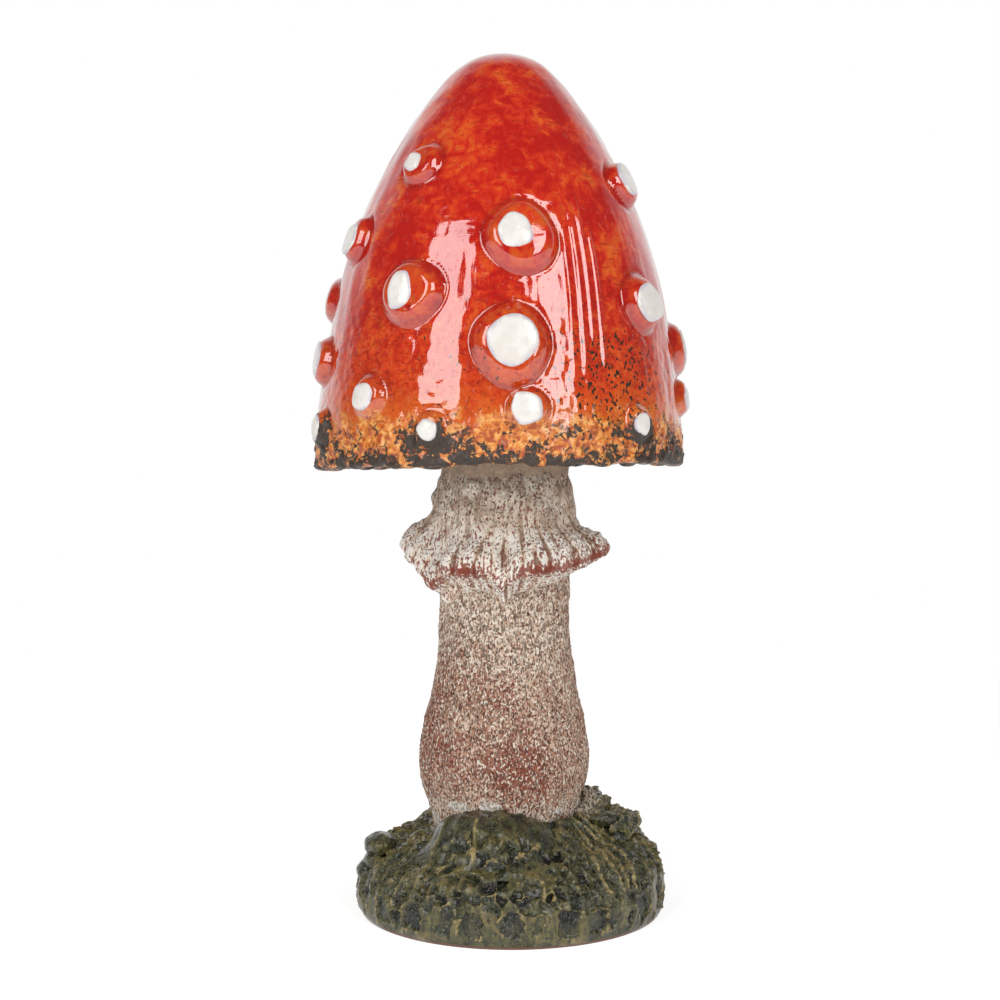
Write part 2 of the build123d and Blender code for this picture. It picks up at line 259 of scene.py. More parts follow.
def surface(name, points, finish, slot, replaced, closed_rows=False, poles=False, **fields):
    """A piece from a grid of points: rows up its outside, columns round it to the right, closed on itself.

    With closed_rows the last row joins the first. With poles the first and last rows each close at a point.
    Each field is a value at every point, kept as an attribute for the material to read.
    """
    rows, columns = points.shape[:2]
    number = np.arange(rows * columns).reshape(rows, columns)
    lower = number if closed_rows else number[:-1]
    upper = np.roll(number, -1, axis=0) if closed_rows else number[1:]
    quads = np.stack([lower, np.roll(lower, -1, 1), np.roll(upper, -1, 1), upper], -1).reshape(-1, 4)
    flat = points.reshape(-1, 3)
    fans = np.zeros((0, 3), int)
    if poles:
        ends = np.stack([points[0].mean(0), points[-1].mean(0)])
        around = np.roll(number, -1, axis=1)
        first = np.stack([np.full(columns, len(flat)), around[0], number[0]], -1)
        final = np.stack([np.full(columns, len(flat) + 1), number[-1], around[-1]], -1)
        fans = np.vstack([first, final])
        flat = np.vstack([flat, ends])
    mesh = bpy.data.meshes.new(name)
    mesh.vertices.add(len(flat))
    mesh.vertices.foreach_set("co", (flat * MM).astype(np.float32).ravel())
    mesh.loops.add(quads.size + fans.size)
    mesh.loops.foreach_set("vertex_index", np.concatenate([quads.ravel(), fans.ravel()]).astype(np.int32))
    sizes = np.concatenate([np.full(len(quads), 4), np.full(len(fans), 3)]).astype(np.int32)
    mesh.polygons.add(len(sizes))
    mesh.polygons.foreach_set("loop_start", np.concatenate([[0], np.cumsum(sizes)[:-1]]).astype(np.int32))
    mesh.polygons.foreach_set("loop_total", sizes)
    mesh.polygons.foreach_set("use_smooth", np.ones(len(sizes), bool))
    mesh.update(calc_edges=True)
    mesh.validate()
    for field, values in fields.items():
        padded = np.zeros(len(flat), np.float32)
        padded[: rows * columns] = np.broadcast_to(values, (rows, columns)).ravel()
        if poles:
            padded[-2:] = padded[0], padded[rows * columns - 1]
        mesh.attributes.new(field, "FLOAT", "POINT").data.foreach_set("value", padded)
    mesh.materials.append(finish)
    piece = put_in_scene(name, mesh)
    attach(piece, "root")
    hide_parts(replaced)
    return piece


class Mask:
    """A number that varies over a surface, with plain arithmetic that adds nodes to its recipe."""

    def __init__(self, recipe, socket):
        self.recipe = recipe
        self.socket = socket

    def __add__(self, other):
        return self.recipe.math("ADD", self, other)

    def __sub__(self, other):
        return self.recipe.math("SUBTRACT", self, other)

    def __rsub__(self, other):
        return self.recipe.math("SUBTRACT", other, self)

    def __mul__(self, other):
        return self.recipe.math("MULTIPLY", self, other)

    def __rmul__(self, other):
        return self * other

    def span(self, low, high, start=0.0, end=1.0):
        """A smooth step from start to end as the number goes from low to high."""
        inputs = {"Value": self, "From Min": low, "From Max": high, "To Min": start, "To Max": end}
        made = self.recipe.node("MapRange", inputs, interpolation_type="SMOOTHSTEP")
        return Mask(self.recipe, made.outputs["Result"])


class Recipe:
    """A node tree, with a short method for each kind of node that the finishes use."""

    def __init__(self, tree):
        self.tree = tree

    def fill(self, socket, value):
        """Links a mask or another node's socket to an input, or sets a plain value on it."""
        if isinstance(value, Mask):
            value = value.socket
        if isinstance(value, bpy.types.NodeSocket):
            self.tree.links.new(value, socket)
        else:
            socket.default_value = value

    def node(self, kind, inputs=None, **settings):
        """A node with its settings and its inputs."""
        made = self.tree.nodes.new("ShaderNode" + kind)
        for key, value in settings.items():
            setattr(made, key, value)
        for key, value in (inputs or {}).items():
            self.fill(made.inputs[key], value)
        return made

    def place(self, stretch=(1, 1, 1)):
        """Object coordinates in millimetres, drawn out along each axis by its stretch."""
        scale = [1 / (MM * s) for s in stretch]
        coordinates = self.node("TexCoord").outputs["Object"]
        return self.node("Mapping", {"Vector": coordinates, "Scale": scale}).outputs["Vector"]

    def noise(self, size, detail=2.0, stretch=(1, 1, 1), distortion=0.0, roughness=0.5):
        """Cloudy values round 0.5 with features of about that size in millimetres."""
        inputs = {"Vector": self.place(stretch), "Scale": 1 / size, "Detail": detail}
        inputs |= {"Distortion": distortion, "Roughness": roughness}
        return Mask(self, self.node("TexNoise", inputs).outputs["Fac"])

    def field(self, name):
        """A value kept on the mesh."""
        return Mask(self, self.node("Attribute", attribute_name=name).outputs["Fac"])

    def height(self):
        """Height above the table, in millimetres."""
        return Mask(self, self.node("SeparateXYZ", {0: self.place()}).outputs["Z"])

    def math(self, operation, first, second=0.0):
        """Arithmetic on two numbers."""
        return Mask(self, self.node("Math", {0: first, 1: second}, operation=operation).outputs["Value"])

    def mix(self, share, first, second):
        """One colour under another, by a share. Plain colours are given as they look on a screen."""
        under, over = (paint(*color) if isinstance(color, tuple) else color for color in (first, second))
        made = self.node("Mix", {0: share, 6: under, 7: over}, data_type="RGBA", clamp_factor=True)
        return made.outputs[2]

    def bump(self, height, distance, under=None):
        """A normal from a height, in millimetres, on top of another normal where one is given."""
        inputs = {"Height": height, "Distance": distance * MM, "Strength": 1.0}
        if under:
            inputs["Normal"] = under
        return self.node("Bump", inputs).outputs["Normal"]

    def group(self, tree, **inputs):
        """A shared effect with its values."""
        inputs = {key.capitalize(): value for key, value in inputs.items()}
        return Mask(self, self.node("Group", inputs, node_tree=tree).outputs[0])


def fleck_effect():
    """Scattered specks, as a node group: noise of the given size, kept where it tops a level.

    The level falls as the cover rises from 0 to 1. Specks are drawn out upwards by the value tall.
    """
    tree = bpy.data.node_groups.new("flecks", "ShaderNodeTree")
    for key, value in {"Size": 1.0, "Tall": 1.0, "Cover": 0.2, "Shift": 0.0}.items():
        tree.interface.new_socket(key, in_out="INPUT", socket_type="NodeSocketFloat").default_value = value
    tree.interface.new_socket("Mask", in_out="OUTPUT", socket_type="NodeSocketFloat")
    recipe = Recipe(tree)
    entry, leave = tree.nodes.new("NodeGroupInput").outputs, tree.nodes.new("NodeGroupOutput").inputs
    squeeze = recipe.node("CombineXYZ", {"X": 1.0, "Y": 1.0, "Z": recipe.math("DIVIDE", 1.0, entry["Tall"])})
    drawn = recipe.node("VectorMath", {0: recipe.place(), 1: squeeze.outputs[0]}, operation="MULTIPLY")
    away = recipe.node("VectorMath", {0: drawn.outputs[0], 1: entry["Shift"]}, operation="ADD").outputs[0]
    scale = recipe.math("DIVIDE", 1.0, entry["Size"])
    grain = recipe.node("TexNoise", {"Vector": away, "Scale": scale, "Detail": 1.5}).outputs["Fac"]
    level = 0.78 - 0.56 * Mask(recipe, entry["Cover"])
    recipe.fill(leave[0], Mask(recipe, grain).span(level, level + 0.06))
    return tree


def material(name):
    """A new material and the recipe of its nodes."""
    made = bpy.data.materials.new(name)
    made.use_nodes = True
    return made, Recipe(made.node_tree)


def dress(made, recipe, **sockets):
    """Fills in a material's shader, socket by socket, and gives the material back."""
    shader = made.node_tree.nodes["Principled BSDF"]
    for key, value in sockets.items():
        recipe.fill(shader.inputs[key.replace("_", " ")], value)
    return made


def cap_finish(flecks):
    """Red glaze brushed over orange, thin on the warts, with an ochre rim that scorched in the kiln."""
    made, glaze = material("red_glaze")
    above, burnt = glaze.field("above_rim"), glaze.field("burnt")
    cloud = glaze.noise(10.0, distortion=0.5)
    dapple = glaze.noise(3.2, detail=3.0, distortion=0.9)
    fibre = glaze.noise(0.7, stretch=(1, 1, 2.5), distortion=0.8)
    thin = 0.4 * cloud + 0.45 * dapple + 0.15 * fibre
    red = glaze.mix(thin.span(0.42, 0.54), (198, 25, 14), (224, 51, 23))
    red = glaze.mix(thin.span(0.5, 0.66), red, (241, 106, 35))
    low = above.span(40.0, 8.0) * dapple.span(0.3, 0.6, 0.35, 0.75)
    red = glaze.mix(low, red, (228, 88, 29))
    mottle = glaze.noise(1.5, detail=4.0, distortion=0.8, roughness=0.62)
    lower = above.span(54.0, 30.0)
    red = glaze.mix(lower * mottle.span(0.5, 0.62, 0.0, 0.55), red, (150, 30, 18))
    red = glaze.mix(lower * mottle.span(0.46, 0.36, 0.0, 0.45), red, (224, 112, 52))
    stroke = glaze.noise(0.9, stretch=(4, 4, 0.7), distortion=0.6).span(0.56, 0.64)
    red = glaze.mix(stroke * dapple.span(0.46, 0.6, 0.0, 0.55), red, (157, 23, 13))
    worn = glaze.field("wart").span(0.35, 0.8) * dapple.span(0.36, 0.56)
    red = glaze.mix(0.5 * worn, red, (215, 88, 31))
    red = glaze.mix(0.5 * glaze.field("crease"), red, (148, 17, 10))

    fray = glaze.noise(6.0, detail=3.0, distortion=0.8) + 0.4 * glaze.noise(1.4)
    edge = above - 15.0 * fray
    red = glaze.mix(edge.span(8.0, -1.0, 0.0, 0.85), red, (226, 104, 36))
    band = edge.span(2.5, -3.0)
    patch = glaze.noise(1.9, detail=3.0, distortion=1.0)
    ochre = glaze.mix(patch.span(0.38, 0.5), (184, 80, 22), (229, 130, 42))
    ochre = glaze.mix(patch.span(0.52, 0.62), ochre, (252, 180, 94))
    color = glaze.mix(band, red, ochre)

    fine_char = glaze.noise(1.5, detail=4.0, distortion=1.0, roughness=0.62)
    char = 0.55 * fine_char + 0.45 * glaze.noise(5.5)
    scorch = char + 0.2 * burnt + 0.085 * band
    kiln = glaze.math("MAXIMUM", burnt.span(0.05, 0.3), band)
    soot = scorch.span(0.61, 0.66) * kiln
    cover = 0.39 * glaze.field("flecked")
    specks = glaze.group(flecks, size=0.9, tall=1.3, cover=cover) * cover.span(0.04, 0.1)
    dark = glaze.math("MAXIMUM", soot, specks)
    color = glaze.mix(dark, color, glaze.mix(patch, (31, 23, 18), (79, 59, 44)))

    dull = glaze.math("MAXIMUM", 0.75 * band, soot)
    bristle = glaze.noise(0.45, detail=1.0, stretch=(1, 1, 9))
    sweep = glaze.noise(0.4, detail=1.0, stretch=(6, 6, 0.8))
    relief = glaze.bump(bristle + sweep, 0.012)
    hair = glaze.noise(0.6, detail=1.0, stretch=(1, 1, 14), distortion=0.3).span(0.68, 0.74)
    relief = glaze.bump(hair, 0.06, under=relief)
    relief = glaze.bump(dull * glaze.noise(0.9, detail=3.0), 0.4, under=relief)
    shine = {"Roughness": dull.span(0.0, 1.0, 0.045, 0.5), "Coat_Weight": dull.span(0.2, 1.0, 1.0, 0.1)}
    shine |= {"IOR": 1.6, "Coat_IOR": 1.65, "Coat_Roughness": 0.03}
    return dress(made, glaze, Base_Color=color, Normal=relief, **shine)


def enamel_finish():
    """Thick white enamel, with a painted lilac-grey shade round the edge of each dab."""
    made, enamel = material("white_enamel")
    cloud = enamel.noise(3.0)
    white = enamel.mix(cloud.span(0.35, 0.65), (240, 234, 225), (247, 243, 237))
    # painted shade: lilac-grey laid round the edge of each dab
    rim = enamel.field("edge") * enamel.noise(2.2).span(0.35, 0.6)
    color = enamel.mix(rim, white, (212, 204, 214))
    roughness = cloud.span(0.3, 0.7, 0.12, 0.26)
    relief = enamel.bump(enamel.noise(1.1), 0.1)
    return dress(made, enamel, Base_Color=color, Roughness=roughness, Normal=relief, Coat_Weight=0.25)


def slip_finish(flecks):
    """Matt whitewash stippled over brown clay in pale grains and dark specks.

    Red-brown clay shows where the wash is thin, and a pale crust clings to the foot.
    """
    made, slip = material("stem_slip")
    chalk, rust, height = slip.field("chalk"), slip.field("rust"), slip.height()
    cloud = slip.noise(5.0, detail=3.0)
    base = slip.mix(cloud.span(0.35, 0.65), (181, 141, 116), (216, 185, 160))
    base = slip.mix(0.4 * chalk, base, (208, 185, 162))
    patchy = rust * slip.noise(3.0, detail=4.0, roughness=0.6).span(0.4, 0.54)
    base = slip.mix(0.75 * patchy, base, (152, 76, 52))
    blot = slip.group(flecks, size=1.5, tall=1.4, cover=rust.span(0.0, 1.0, 0.3, 0.6), shift=15.0)
    base = slip.mix(0.6 * blot, base, (149, 74, 48))
    cream = slip.group(flecks, size=1.8, tall=1.6, cover=chalk.span(0.0, 1.0, 0.26, 0.46), shift=55.0)
    base = slip.mix(0.6 * cream, base, (237, 218, 200))
    red = slip.group(flecks, size=0.6, tall=1.6, cover=rust.span(0.0, 1.0, 0.36, 0.62), shift=31.0)
    color = slip.mix(0.8 * red, base, (134, 65, 46))
    dark = slip.group(flecks, size=0.45, tall=1.7, cover=0.48, shift=67.0)
    color = slip.mix(0.85 * dark, color, (74, 45, 35))
    pale = slip.group(flecks, size=0.48, tall=1.6, cover=chalk.span(0.0, 1.0, 0.38, 0.5))
    color = slip.mix(0.92 * pale, color, (244, 231, 214))
    mottle = slip.group(flecks, size=1.1, tall=1.2, cover=height.span(52.0, 66.0, 0.22, 0.4), shift=90.0)
    color = slip.mix(0.7 * mottle, color, (114, 95, 79))
    flake = slip.field("crust") + 1.1 * slip.noise(1.3, detail=4.0, roughness=0.65)
    crust = slip.mix(dark, (240, 234, 225), (176, 160, 145))
    color = slip.mix(0.92 * flake.span(1.12, 1.22), color, crust)
    color = slip.mix(height.span(100.0, 106.0, 0.0, 0.8), color, (200, 174, 149))
    roughness = cloud.span(0.3, 0.7, 0.72, 0.9)
    relief = slip.bump(0.5 * pale + slip.noise(0.5, stretch=(1, 1, 1.5)), 0.28)
    return dress(made, slip, Base_Color=color, Roughness=roughness, Normal=relief)


def skirt_finish(flecks):
    """Whitewash dragged down the pleats over red-brown clay that shows in the grooves and along the hem."""
    made, wash = material("skirt_slip")
    hem, pleat, fall = wash.field("hem"), wash.field("pleat"), wash.field("fall")
    cloud = wash.noise(6.0, detail=3.0)
    base = wash.mix(cloud.span(0.36, 0.62), (226, 200, 174), (252, 238, 218))
    streak = wash.noise(0.7, stretch=(1, 1, 3.5))
    ridge = 0.55 * pleat + 0.45 * streak
    groove = ridge.span(0.42, 0.32) * fall.span(0.1, 0.6, 0.5, 1.0)
    color = wash.mix(0.8 * groove, base, (122, 85, 65))
    low = fall.span(0.2, 0.6, 0.35, 1.0)
    color = wash.mix(ridge.span(0.41, 0.51) * low, color, (250, 243, 232))
    cover = hem.span(0.0, 0.8, 0.33, 0.62) + 0.08 * low
    rust = wash.group(flecks, size=0.62, tall=1.8, cover=cover, shift=40.0)
    bare = wash.math("MAXIMUM", (hem - 1.1 * ridge).span(0.24, 0.36), 0.9 * rust)
    color = wash.mix(bare, color, wash.mix(cloud, (122, 55, 39), (164, 81, 61)))
    pits = wash.group(flecks, size=0.5, tall=1.3, cover=0.33, shift=12.0)
    color = wash.mix(0.8 * pits, color, (88, 54, 42))
    neck = fall.span(0.45, 0.05)
    clay = wash.noise(4.5, detail=3.0, distortion=0.8).span(0.52, 0.58) * neck
    color = wash.mix(0.5 * clay, color, (170, 140, 116))
    off = wash.math("ABSOLUTE", wash.noise(3.6, detail=3.0, distortion=0.5) - 0.5)
    crack = off.span(0.016, 0.005) * neck
    color = wash.mix(0.6 * crack, color, (92, 70, 56))
    roughness = cloud.span(0.3, 0.7, 0.7, 0.88)
    relief = wash.bump(streak + wash.noise(0.5), 0.25)
    return dress(made, wash, Base_Color=color, Roughness=roughness, Normal=relief)


def moss_finish(flecks):
    """Dark green glaze pooled in the tool marks, with olive and ochre rubbed over the ridges.

    Clay shows at the foot and along the flap's seam, and pale slip dusts the tops of the clumps.
    Painted near-black shade fills the deepest hollows and tiny pits; pale specks are partly painted glints.
    """
    made, moss = material("moss_glaze")
    pressed, raised = moss.field("pressed"), moss.field("raised")
    cloud, drag = moss.noise(5.0, detail=3.0), moss.noise(0.9, detail=3.0, stretch=(1, 1, 3))
    green = moss.mix(moss.noise(2.4, detail=3.0).span(0.38, 0.62), (34, 38, 23), (77, 79, 51))
    bare = (1.0 - pressed) * cloud.span(0.3, 0.5)
    olive = moss.mix(drag.span(0.3, 0.7), (64, 65, 39), (122, 113, 64))
    color = moss.mix(0.8 * bare, green, olive)
    wash = moss.noise(6.5, detail=4.0, distortion=0.6).span(0.5, 0.6) * drag.span(0.25, 0.6)
    color = moss.mix(0.75 * wash, color, olive)
    brushed = raised.span(0.46, 0.72) * moss.noise(2.0, detail=3.0).span(0.38, 0.58)
    color = moss.mix(0.55 * brushed, color, (156, 132, 80))
    rub = moss.field("lip") * moss.noise(1.7, detail=3.0).span(0.34, 0.56)
    crest = moss.mix(moss.noise(0.8).span(0.4, 0.6), (122, 108, 62), (180, 158, 102))
    color = moss.mix(rub.span(0.2, 0.55, 0.0, 0.9), color, crest)
    # painted shade: the deepest hollows of the relief turn near black
    color = moss.mix(raised.span(0.32, -0.1), color, (21, 22, 17))
    # pale specks on the pads: partly real pale grains, partly painted glints
    cover = pressed.span(0.2, 0.9, 0.14, 0.28)
    glints_and_specks = moss.group(flecks, size=0.4, tall=1.3, cover=cover, shift=23.0)
    color = moss.mix(0.42 * glints_and_specks, color, (166, 160, 132))
    # painted shade: near-black specks stand for the dark of tiny pits
    pits = moss.group(flecks, size=0.8, tall=1.5, cover=0.3, shift=77.0)
    color = moss.mix(0.8 * pits, color, (22, 22, 16))
    color = moss.mix(moss.field("fired") * drag.span(0.3, 0.6), color, (108, 69, 52))
    stipple = moss.group(flecks, size=0.6, tall=1.2, cover=0.55)
    dust = moss.mix(stipple, (77, 67, 52), (206, 189, 168))
    color = moss.mix(moss.field("dust") * cloud.span(0.36, 0.5), color, dust)
    color = moss.mix(moss.height().span(0.8, 0.35), color, (116, 75, 54))
    roughness = bare.span(0.0, 0.8, 0.12, 0.3)
    relief = moss.bump(0.8 * drag + moss.noise(1.1, detail=3.0, distortion=0.6), 0.55)
    return dress(made, moss, Base_Color=color, Roughness=roughness, Normal=relief, Coat_Weight=0.5)


def mortar_finish():
    """Pale sandy cement."""
    made, mortar = material("mortar")
    grain = mortar.noise(0.8, detail=3.0)
    color = mortar.mix(grain.span(0.35, 0.65), (178, 168, 152), (204, 196, 182))
    roughness = grain.span(0.3, 0.7, 0.8, 0.95)
    return dress(made, mortar, Base_Color=color, Roughness=roughness, Normal=mortar.bump(grain, 0.2))


def cap_outline(inset, crown_inset):
    """The cap's outline, from below its rim: distance up from the rim, radius, height, outward normal."""
    radius, height = CAP_RADIUS - inset, CAP_HEIGHT - crown_inset
    through = [(radius, 0), *[(radius * across, height * up) for across, up in CAP_BELL], (0, height)]
    profile = curve(through, 600, start=(0, 1), end=(-1, 0))
    drop = 10.0
    line = np.vstack([[(radius, -drop)], profile])
    travel = travelled(line) - drop
    slope = np.gradient(line, travel, axis=0)
    slope /= np.linalg.norm(slope, axis=1, keepdims=True)
    return travel, line[:, 0], line[:, 1], slope[:, 1], -slope[:, 0]


def follow(outline, distance):
    """Radius, height and the normal's two parts at distances up an outline."""
    return [np.interp(distance, outline[0], column) for column in outline[1:]]


def lean(points):
    """The cap's own frame to the part's: a small turn about Y, then up to the rim."""
    x, y, z = np.moveaxis(points, -1, 0)
    right, up = math.cos(CAP_LEAN), math.sin(CAP_LEAN)
    return np.stack([x * right + z * up, y, z * right - x * up + RIM_HEIGHT], -1)


def wart_place(outline, azimuth, up):
    """A wart's centre on the cap, with the directions out of the glaze, up the cap and to its side."""
    turn = math.radians(azimuth)
    radius, height, out, rise = follow(outline, up)
    centre, axis = turned(radius, height, turn), turned(out, rise, turn)
    side = np.array([math.cos(turn), math.sin(turn), 0])
    return centre, axis, np.cross(axis, side), side


def wart_rise(wart_radius):
    """Height of a wart's top above the cap."""
    return min(WART_RISE, WART_STEEPNESS * wart_radius)


def raise_warts(points, outline):
    """Lifts the cap into a button at each wart: a nearly flat top, a rounded flank and a crease at its foot.

    The lift is 1 on the flat top and falls as (1 - t^2) to a power over the flank. The foot wavers by a
    few cosines.
    """
    lifted, wart, crease = points.copy(), np.zeros(points.shape[:2]), np.zeros(points.shape[:2])
    rng = np.random.default_rng(5)
    for azimuth, up, _, wide in SPOTS:
        centre, axis, upward, side = wart_place(outline, azimuth, up)
        local = points - centre
        level = local @ axis
        reach, angle = np.hypot(local @ upward, local @ side), np.arctan2(local @ upward, local @ side)
        waver = sum(FOOT_WAVER / k * np.cos(k * angle + rng.uniform(0, 6.3)) for k in (1, 2, 3, 4))
        foot = wide * (1 + waver)
        share = reach / foot
        flank = np.clip((share - WART_FLAT) / (1 - WART_FLAT), 0, 1)
        near = level > -wide
        lift = np.where(near, (1 - flank**2) ** 1.1, 0)
        top = wart_rise(wide) * (1 - 0.12 * share**2)
        groove = np.where(near, bell(reach - foot, CREASE_WIDTH), 0)
        lifted += (lift * (top - level) - CREASE_DEPTH * groove)[..., None] * axis
        wart, crease = np.maximum(wart, lift), np.maximum(crease, groove)
    return lifted, wart, crease


def brush_relief(points, azimuth, up):
    """Glaze left by the brush: long low ripples, runs on the right, dimples low down and a rough rim."""
    ripple = 0.05 * waves(points, 7.0, 11, (1, 1, 4)) + 0.010 * waves(points, 2.2, 12, (1, 1, 7))
    sweep = 0.016 * waves(points, 1.9, 13, (5, 5, 0.8)) * ease(up, 40, 52)
    runs = np.zeros_like(up)
    for place, low, high, tall in GLAZE_RUNS:
        ridge = bell((np.degrees(azimuth) - place) * RUN_DEGREE, RUN_WIDTH)
        runs = runs + tall * ridge * ease(up, low, low + 8) * ease(up, high, high - 10)
    dimples = 0.035 * waves(points, 3.0, 15) * ease(up, 46, 24)
    crust = dimples + 0.22 * waves(points, 2.2, 14) * ease(up, 13, 4)
    return (ripple + sweep + runs + crust) * ease(points[..., 2], CAP_HEIGHT, CAP_HEIGHT - 5)


def kiln_marks(points, up, outline):
    """How burnt the glaze is and how flecked, 0 to 1.

    It is burnt along the rim, at its right and under the lowest spots. It is flecked above the rim, most of
    all on the right.
    """
    burnt = 0.62 * bell(up, 2.6)
    for azimuth, height, _, wide in SPOTS:
        if height < BURNT_BELOW:
            centre, _, upward, side = wart_place(outline, azimuth, height)
            away = np.linalg.norm(points - centre + 1.6 * upward - 1.2 * side, axis=-1)
            burnt = np.maximum(burnt, bell(away, 0.95 * wide))
    turn = np.degrees(np.arctan2(points[..., 0], -points[..., 1]))
    burnt = np.maximum(burnt, 0.35 * bell(turn - 58, 22) * ease(up, 11, 4))
    right = 0.25 + 0.75 * bell(turn - 38, 34) + 0.3 * bell(turn + 18, 14)
    flecked = right * ease(up, 42, 24) * ease(up, 2, 10)
    return burnt, flecked


def make_cap(finish):
    """The cap as one closed shell: the lining down to the rim, across it, and up the glazed outside."""
    outside, inside = cap_outline(0, 0), cap_outline(CAP_WALL, CROWN_WALL)
    azimuth = full_turn(CAP_COLUMNS)[None, :]
    rim = CAP_RADIUS * (np.sin(azimuth) * math.tan(RIM_SLANT) + np.cos(azimuth) * math.tan(RIM_TIP))
    rim = rim + RIM_WOBBLE * waves(turned(CAP_RADIUS, 0.0, azimuth), 6.0, 3)

    def sweep(outline, share):
        distance = rim + (outline[0][-1] - 0.02 - rim) * share
        radius, height, out, rise = follow(outline, distance)
        return turned(radius, height, azimuth), turned(out, rise, azimuth), distance

    glaze, normal, up = sweep(outside, np.linspace(0, 1, CAP_ROWS)[:, None])
    warted, wart, crease = raise_warts(glaze, outside)
    burnt, flecked = kiln_marks(glaze, up - rim, outside)
    glaze = warted + brush_relief(glaze, azimuth, up)[..., None] * normal
    lining, _, _ = sweep(inside, np.linspace(1, 0, LINING_ROWS)[:, None])
    lining = lining + 0.2 * waves(lining, 7.0, 8)[..., None] * turned(-1.0, 0.0, azimuth)
    over = np.linspace(0, 1, RIM_ROWS + 2)[1:-1, None, None]
    lip = lining[-1] * (1 - over) + glaze[0] * over
    lip[..., 2] -= (1.1 * np.sqrt(over * (1 - over)))[..., 0]
    rows = np.vstack([lining, lip, glaze])
    under = LINING_ROWS + RIM_ROWS
    fields = {"wart": wart, "crease": crease, "burnt": burnt, "flecked": flecked, "above_rim": up - rim}
    fields = {name: np.pad(values, ((under, 0), (0, 0))) for name, values in fields.items()}
    fields["burnt"][:under] = 0.45
    return surface("cap", lean(rows), finish, "red_glaze", "cap_shell", poles=True, **fields)


def make_spots(finish):
    """A dab of enamel on each wart: many-sided with softened corners, domed, with a blunt edge.

    Its outline is a soft least of the distances to its sides, and its top falls as 1 - t^2 from the middle.
    """
    outline = cap_outline(0, 0)
    rng = np.random.default_rng(21)
    angle = np.linspace(0, 2 * math.pi, DAB_COLUMNS, endpoint=False)
    share = np.linspace(0.03, 1, DAB_ROWS)
    for number, (azimuth, up, radius, wide) in enumerate(SPOTS, 1):
        centre, axis, upward, side = wart_place(outline, azimuth, up)
        narrow = NARROW_DABS.get(number, 1.0)
        centre = centre - (min(DAB_SHIFT, 0.25 * (wide - radius)) + 0.9 * radius * (1 - narrow)) * side
        sides = rng.integers(7, 10)
        facing = (np.arange(sides) + rng.uniform(-0.28, 0.28, sides)) * 2 * math.pi / sides
        apart = radius * rng.uniform(0.86, 1.02, sides)
        edges = apart / np.maximum(np.cos(angle[:, None] - facing), 0.05)
        soft = 8 / radius
        limit = -np.log(np.exp(-edges * soft).sum(1)) / soft
        dome = DAB_THICKNESS * (0.55 + 0.45 * (1 - share**2)) * np.sqrt(np.clip(1.02 - share**6, 0, 1))
        above = np.concatenate([[-DAB_SINK, -DAB_SINK], dome[::-1]])
        inward = np.concatenate([[0.05, 0.98], share[::-1]])
        level = wart_rise(wide) - 0.1 + above[:, None] + 0.05 * np.cos(3 * angle + number) * inward[:, None]
        reach = inward[:, None] * limit
        spread = reach[..., None] * (narrow * np.cos(angle)[:, None] * side + np.sin(angle)[:, None] * upward)
        points = centre + spread + level[..., None] * axis
        # edge: where the enamel finish paints its lilac-grey shade
        edge = ease(inward, 0.72, 1.0)[:, None]
        name, node = f"spot_{number:02d}", f"cap_spot_{number:02d}"
        surface(name, lean(points), finish, "white_enamel", node, poles=True, edge=edge)


def patches(azimuth, height, places):
    """Soft patches: a bell at each azimuth and height, with half sizes in degrees and millimetres."""
    total = np.zeros(np.broadcast(azimuth, height).shape)
    for turn, level, wide, tall, strength in places:
        off = (np.degrees(azimuth) - turn + 180) % 360 - 180
        total = total + strength * bell(off, wide) * bell(height - level, tall)
    return np.clip(total, 0, 1)


def make_stem(finish):
    """The stem as a closed tube: up its outside, over the tenon and down the bore, combed and pitted."""
    side = curve(STEM_SIDE, STEM_ROWS, start=(0, 1), end=(0, 1))
    bore = [(BORE_RADIUS, STEM_TENON[-1][1]), (BORE_RADIUS, STEM_SIDE[0][1])]
    outline = np.vstack([side, evenly(np.array([side[-1], *STEM_TENON, *bore]), BORE_ROWS)[1:]])
    azimuth = full_turn(STEM_COLUMNS)[None, :]
    points = turned(outline[:, :1], outline[:, 1:], azimuth)
    comb = 0.16 * waves(points, 4.5, 31, (1, 1, 8)) + 0.09 * waves(points, 1.7, 32, (1, 1, 5))
    lumps = 0.22 * waves(points, 24.0, 33) + 0.07 * waves(points, 1.0, 34, (1, 1, 1.6))
    shown = np.concatenate([np.ones(len(side)), np.zeros(len(outline) - len(side))])[:, None]
    points = points + (shown * (comb + lumps))[..., None] * turned(1.0, 0.0, azimuth)
    points[..., 0] += STEM_X
    height = outline[:, 1:]
    fields = {"rust": STEM_RUST, "chalk": STEM_CHALK, "crust": STEM_CRUST}
    fields = {name: patches(azimuth, height, places) for name, places in fields.items()}
    return surface("stem_column", points, finish, "stem_slip", "stem", closed_rows=True, **fields)


def spline_basis(controls, count):
    """Shares of each control point along a cubic B-spline whose ends are held: the de Boor recursion."""
    knots = np.concatenate([[0] * 3, np.arange(controls - 2), [controls - 3] * 3]).astype(float)
    t = np.linspace(0, controls - 3 - 1e-6, count)[:, None]
    shares = ((t >= knots[:-1]) & (t < knots[1:])).astype(float)
    for degree in (1, 2, 3):
        first, second = knots[degree:-1] - knots[: -degree - 1], knots[degree + 1 :] - knots[1:-degree]
        rise = (t - knots[: -degree - 1]) / np.where(first > 0, first, 1) * (first > 0)
        fall = (knots[degree + 1 :] - t) / np.where(second > 0, second, 1) * (second > 0)
        shares = rise * shares[:, :-1] + fall * shares[:, 1:]
    return shares


